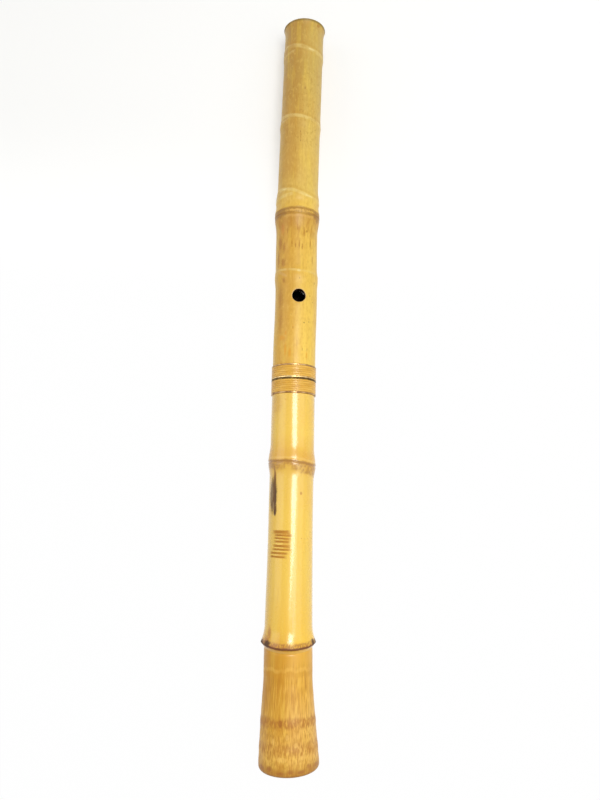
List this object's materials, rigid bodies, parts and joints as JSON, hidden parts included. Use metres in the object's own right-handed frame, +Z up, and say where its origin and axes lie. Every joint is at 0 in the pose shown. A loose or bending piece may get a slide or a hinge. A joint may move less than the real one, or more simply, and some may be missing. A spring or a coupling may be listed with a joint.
{
  "type": "shakuhachi",
  "caption": "End-blown bamboo flute in halves that join at the middle, with a flared root end, finger holes in front, a thumb hole behind and a sloping blowing edge.",
  "frame": {"origin": "centre of the bottom of the bounding box, on the surface that the flute lies on", "axes": "+Y runs along the flute from the root end to the mouth end, +Z is up, towards the thumb-hole side"},
  "size_m": [0.0416, 0.5488, 0.0428],
  "materials": {
    "upper_bamboo": "satin aged bamboo skin, browner at the nodes",
    "lower_bamboo": "polished golden bamboo skin",
    "tenon_bamboo": "lacquered bamboo",
    "bore_lacquer": "polished dark lacquer",
    "socket_lacquer": "red-brown lacquer",
    "horn": "polished black horn",
    "silver": "worn silver",
    "dark_silver": "tarnished silver",
    "rattan": "varnished rattan"
  },
  "bodies": {
    "lower": {"lower_tube": "lower_bamboo", "lower_lining": "bore_lacquer", "lower_edge_ring": "silver", "lower_face_ring": "dark_silver", "lower_binding": "rattan"},
    "socket": {"socket_liner": "socket_lacquer"},
    "upper": {"upper_tube": "upper_bamboo", "upper_lining": "bore_lacquer", "tenon": "tenon_bamboo", "mouth_inlay": "horn", "upper_edge_ring": "silver", "upper_face_ring": "silver", "upper_binding": "rattan"}
  },
  "joints": [
    {"name": "twist", "type": "hinge", "parent": "lower", "child": "socket", "pos_m": [-0.0018, -0.0095, 0.02043], "axis": [0, 0.9998, -0.0189], "continuous": true},
    {"name": "pull", "type": "slide", "parent": "socket", "child": "upper", "axis": [0, 0.9998, -0.0189], "range_m": [0, 0.04]}
  ]
}
